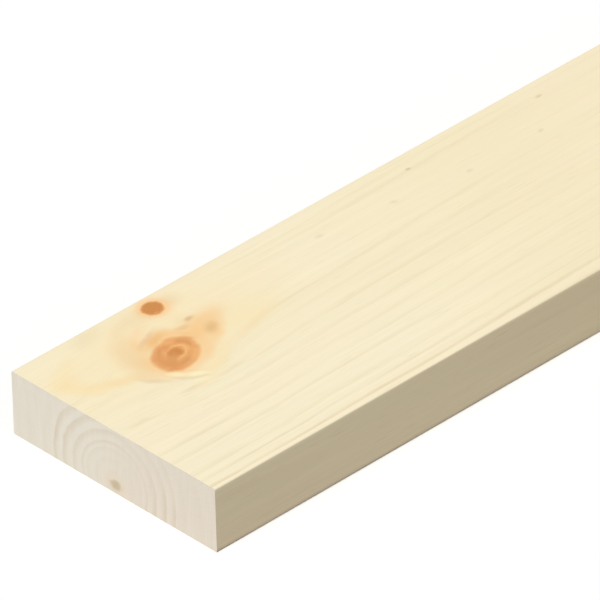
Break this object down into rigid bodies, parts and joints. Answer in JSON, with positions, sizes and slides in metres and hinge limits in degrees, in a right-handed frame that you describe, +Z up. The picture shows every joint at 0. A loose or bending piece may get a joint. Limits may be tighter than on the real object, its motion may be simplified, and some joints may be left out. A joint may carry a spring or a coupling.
{
  "type": "planed timber plank",
  "caption": "Planed square-edge softwood plank: a long flat piece of pale whitewood with lightly eased arrises and square-sawn ends, for shelving, framing and trim.",
  "frame": {"origin": "middle of the underside, where the plank lies on a level floor", "axes": "+X along the length, away from the end that the picture shows; +Y across the width, away from the long edge that the picture shows; +Z up through the thickness"},
  "size_m": [1.8, 0.069, 0.018],
  "materials": {
    "planed_whitewood": "matte"
  },
  "bodies": {
    "root": {"plank": "planed_whitewood"}
  },
  "joints": []
}
